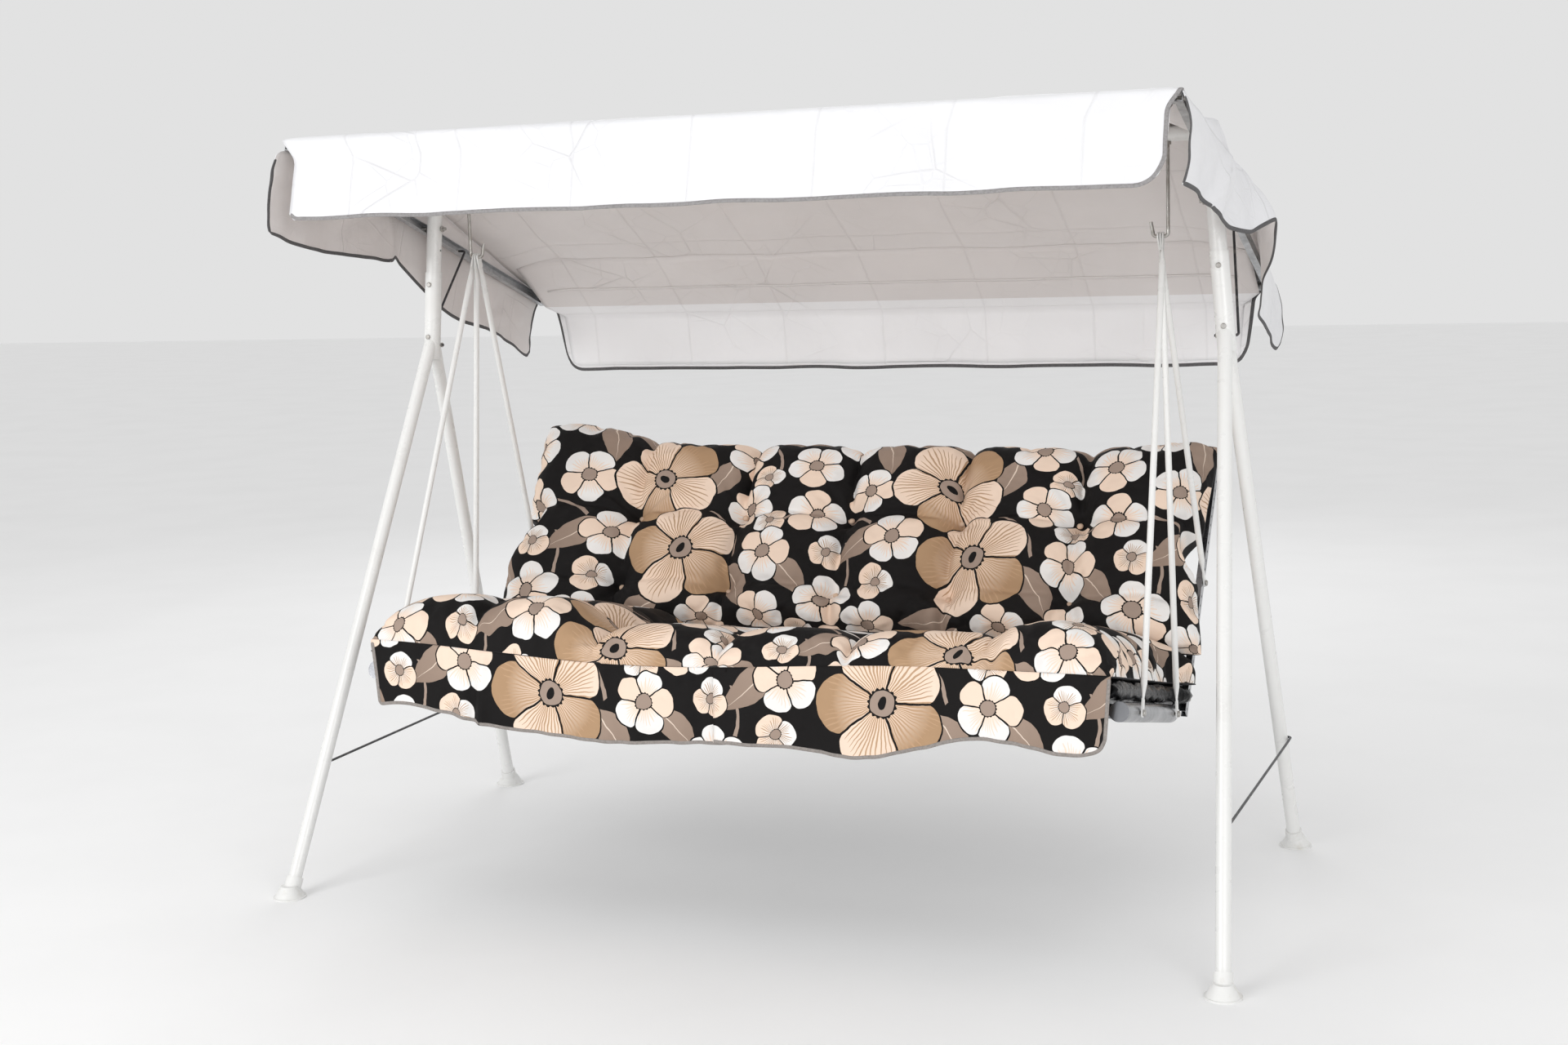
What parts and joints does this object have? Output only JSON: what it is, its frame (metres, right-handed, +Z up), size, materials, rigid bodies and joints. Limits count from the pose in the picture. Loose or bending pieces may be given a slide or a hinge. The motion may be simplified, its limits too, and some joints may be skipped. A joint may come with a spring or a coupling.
{
  "type": "canopy swing bench",
  "caption": "Garden swing bench: a cushioned seat hung on hooks from a beam between two A-frames, under a tilting cloth canopy with hanging valances.",
  "frame": {"origin": "on the floor, under the centre of the bench's bounding box", "axes": "+Z up, +X to the right seen from the front, -Y towards the front; the hooks, the beam and the canopy pivots lie in the plane Y = 0"},
  "size_m": [2.277, 1.305, 1.779],
  "materials": {
    "white_paint": "glossy white enamel",
    "white_plastic": "satin white plastic",
    "dark_rod": "dark grey rod",
    "bare_steel": "zinc plated",
    "galvanised": "galvanised",
    "bright_tube": "bright plated",
    "canopy_cloth": "white coated cloth with grey binding",
    "cushion_cloth": "dark cloth with large flowers",
    "black_vinyl": "shiny black coated cloth"
  },
  "bodies": {
    "frame": {"beam_end_caps": "white_plastic", "frame_bolts": "bare_steel", "frame_nuts": "bare_steel", "front_foot_left": "white_plastic", "front_foot_right": "white_plastic", "front_leg_left": "white_paint", "front_leg_right": "white_paint", "lower_brace_left": "dark_rod", "lower_brace_right": "dark_rod", "pivot_bolts": "bare_steel", "pivot_spacers": "bare_steel", "post_left": "white_paint", "post_right": "white_paint", "rear_foot_left": "white_plastic", "rear_foot_right": "white_plastic", "rear_leg_left": "white_paint", "rear_leg_right": "white_paint", "swing_hook_left": "bare_steel", "swing_hook_right": "bare_steel", "top_beam": "white_paint"},
    "swing": {"back_bottom_rail": "bright_tube", "back_bracket_left": "bright_tube", "back_bracket_right": "bright_tube", "back_cushion": "cushion_cloth", "back_side_left": "bright_tube", "back_side_right": "bright_tube", "back_slats": "bright_tube", "back_top_rail": "bright_tube", "hanger_back_left": "white_paint", "hanger_back_right": "white_paint", "hanger_front_left": "white_paint", "hanger_front_right": "white_paint", "hanger_rear_left": "white_paint", "hanger_rear_right": "white_paint", "seat_bolts": "bare_steel", "seat_cushion": "cushion_cloth", "seat_front_rail": "bright_tube", "seat_nuts": "bare_steel", "seat_rear_rail": "bright_tube", "seat_side_tube_left": "bright_tube", "seat_side_tube_right": "bright_tube", "seat_slats": "bright_tube", "seat_tube_caps": "white_plastic", "seat_underside_pad": "black_vinyl", "skirt_left": "cushion_cloth", "skirt_right": "cushion_cloth"},
    "canopy": {"canopy_bar_left": "galvanised", "canopy_bar_right": "galvanised", "canopy_front_tube": "galvanised", "canopy_rear_tube": "galvanised", "canopy_roof": "canopy_cloth", "corner_bolts": "bare_steel", "front_valance": "canopy_cloth", "rear_valance": "canopy_cloth", "side_valance_left": "canopy_cloth", "side_valance_right": "canopy_cloth"},
    "tilt_braces": {"brace_clips": "bare_steel", "tilt_brace_left": "dark_rod", "tilt_brace_right": "dark_rod"}
  },
  "joints": [
    {"name": "seat_swing", "type": "hinge", "parent": "frame", "child": "swing", "pos_m": [0, 0, 1.497], "axis": [-1, 0, 0], "range_deg": [-15, 20], "deforming": ["rear_valance"]},
    {"name": "canopy_tilt", "type": "hinge", "parent": "frame", "child": "canopy", "pos_m": [0, 0, 1.57], "axis": [-1, 0, 0], "range_deg": [0, 10.5]},
    {"name": "brace_swing", "type": "hinge", "parent": "frame", "child": "tilt_braces", "pos_m": [0, 0.01, 1.277], "axis": [-1, 0, 0], "range_deg": [0, 24]}
  ],
  "couplings": [
    {"joint": "brace_swing", "follows": "canopy_tilt", "ratio": 2.2238}
  ]
}
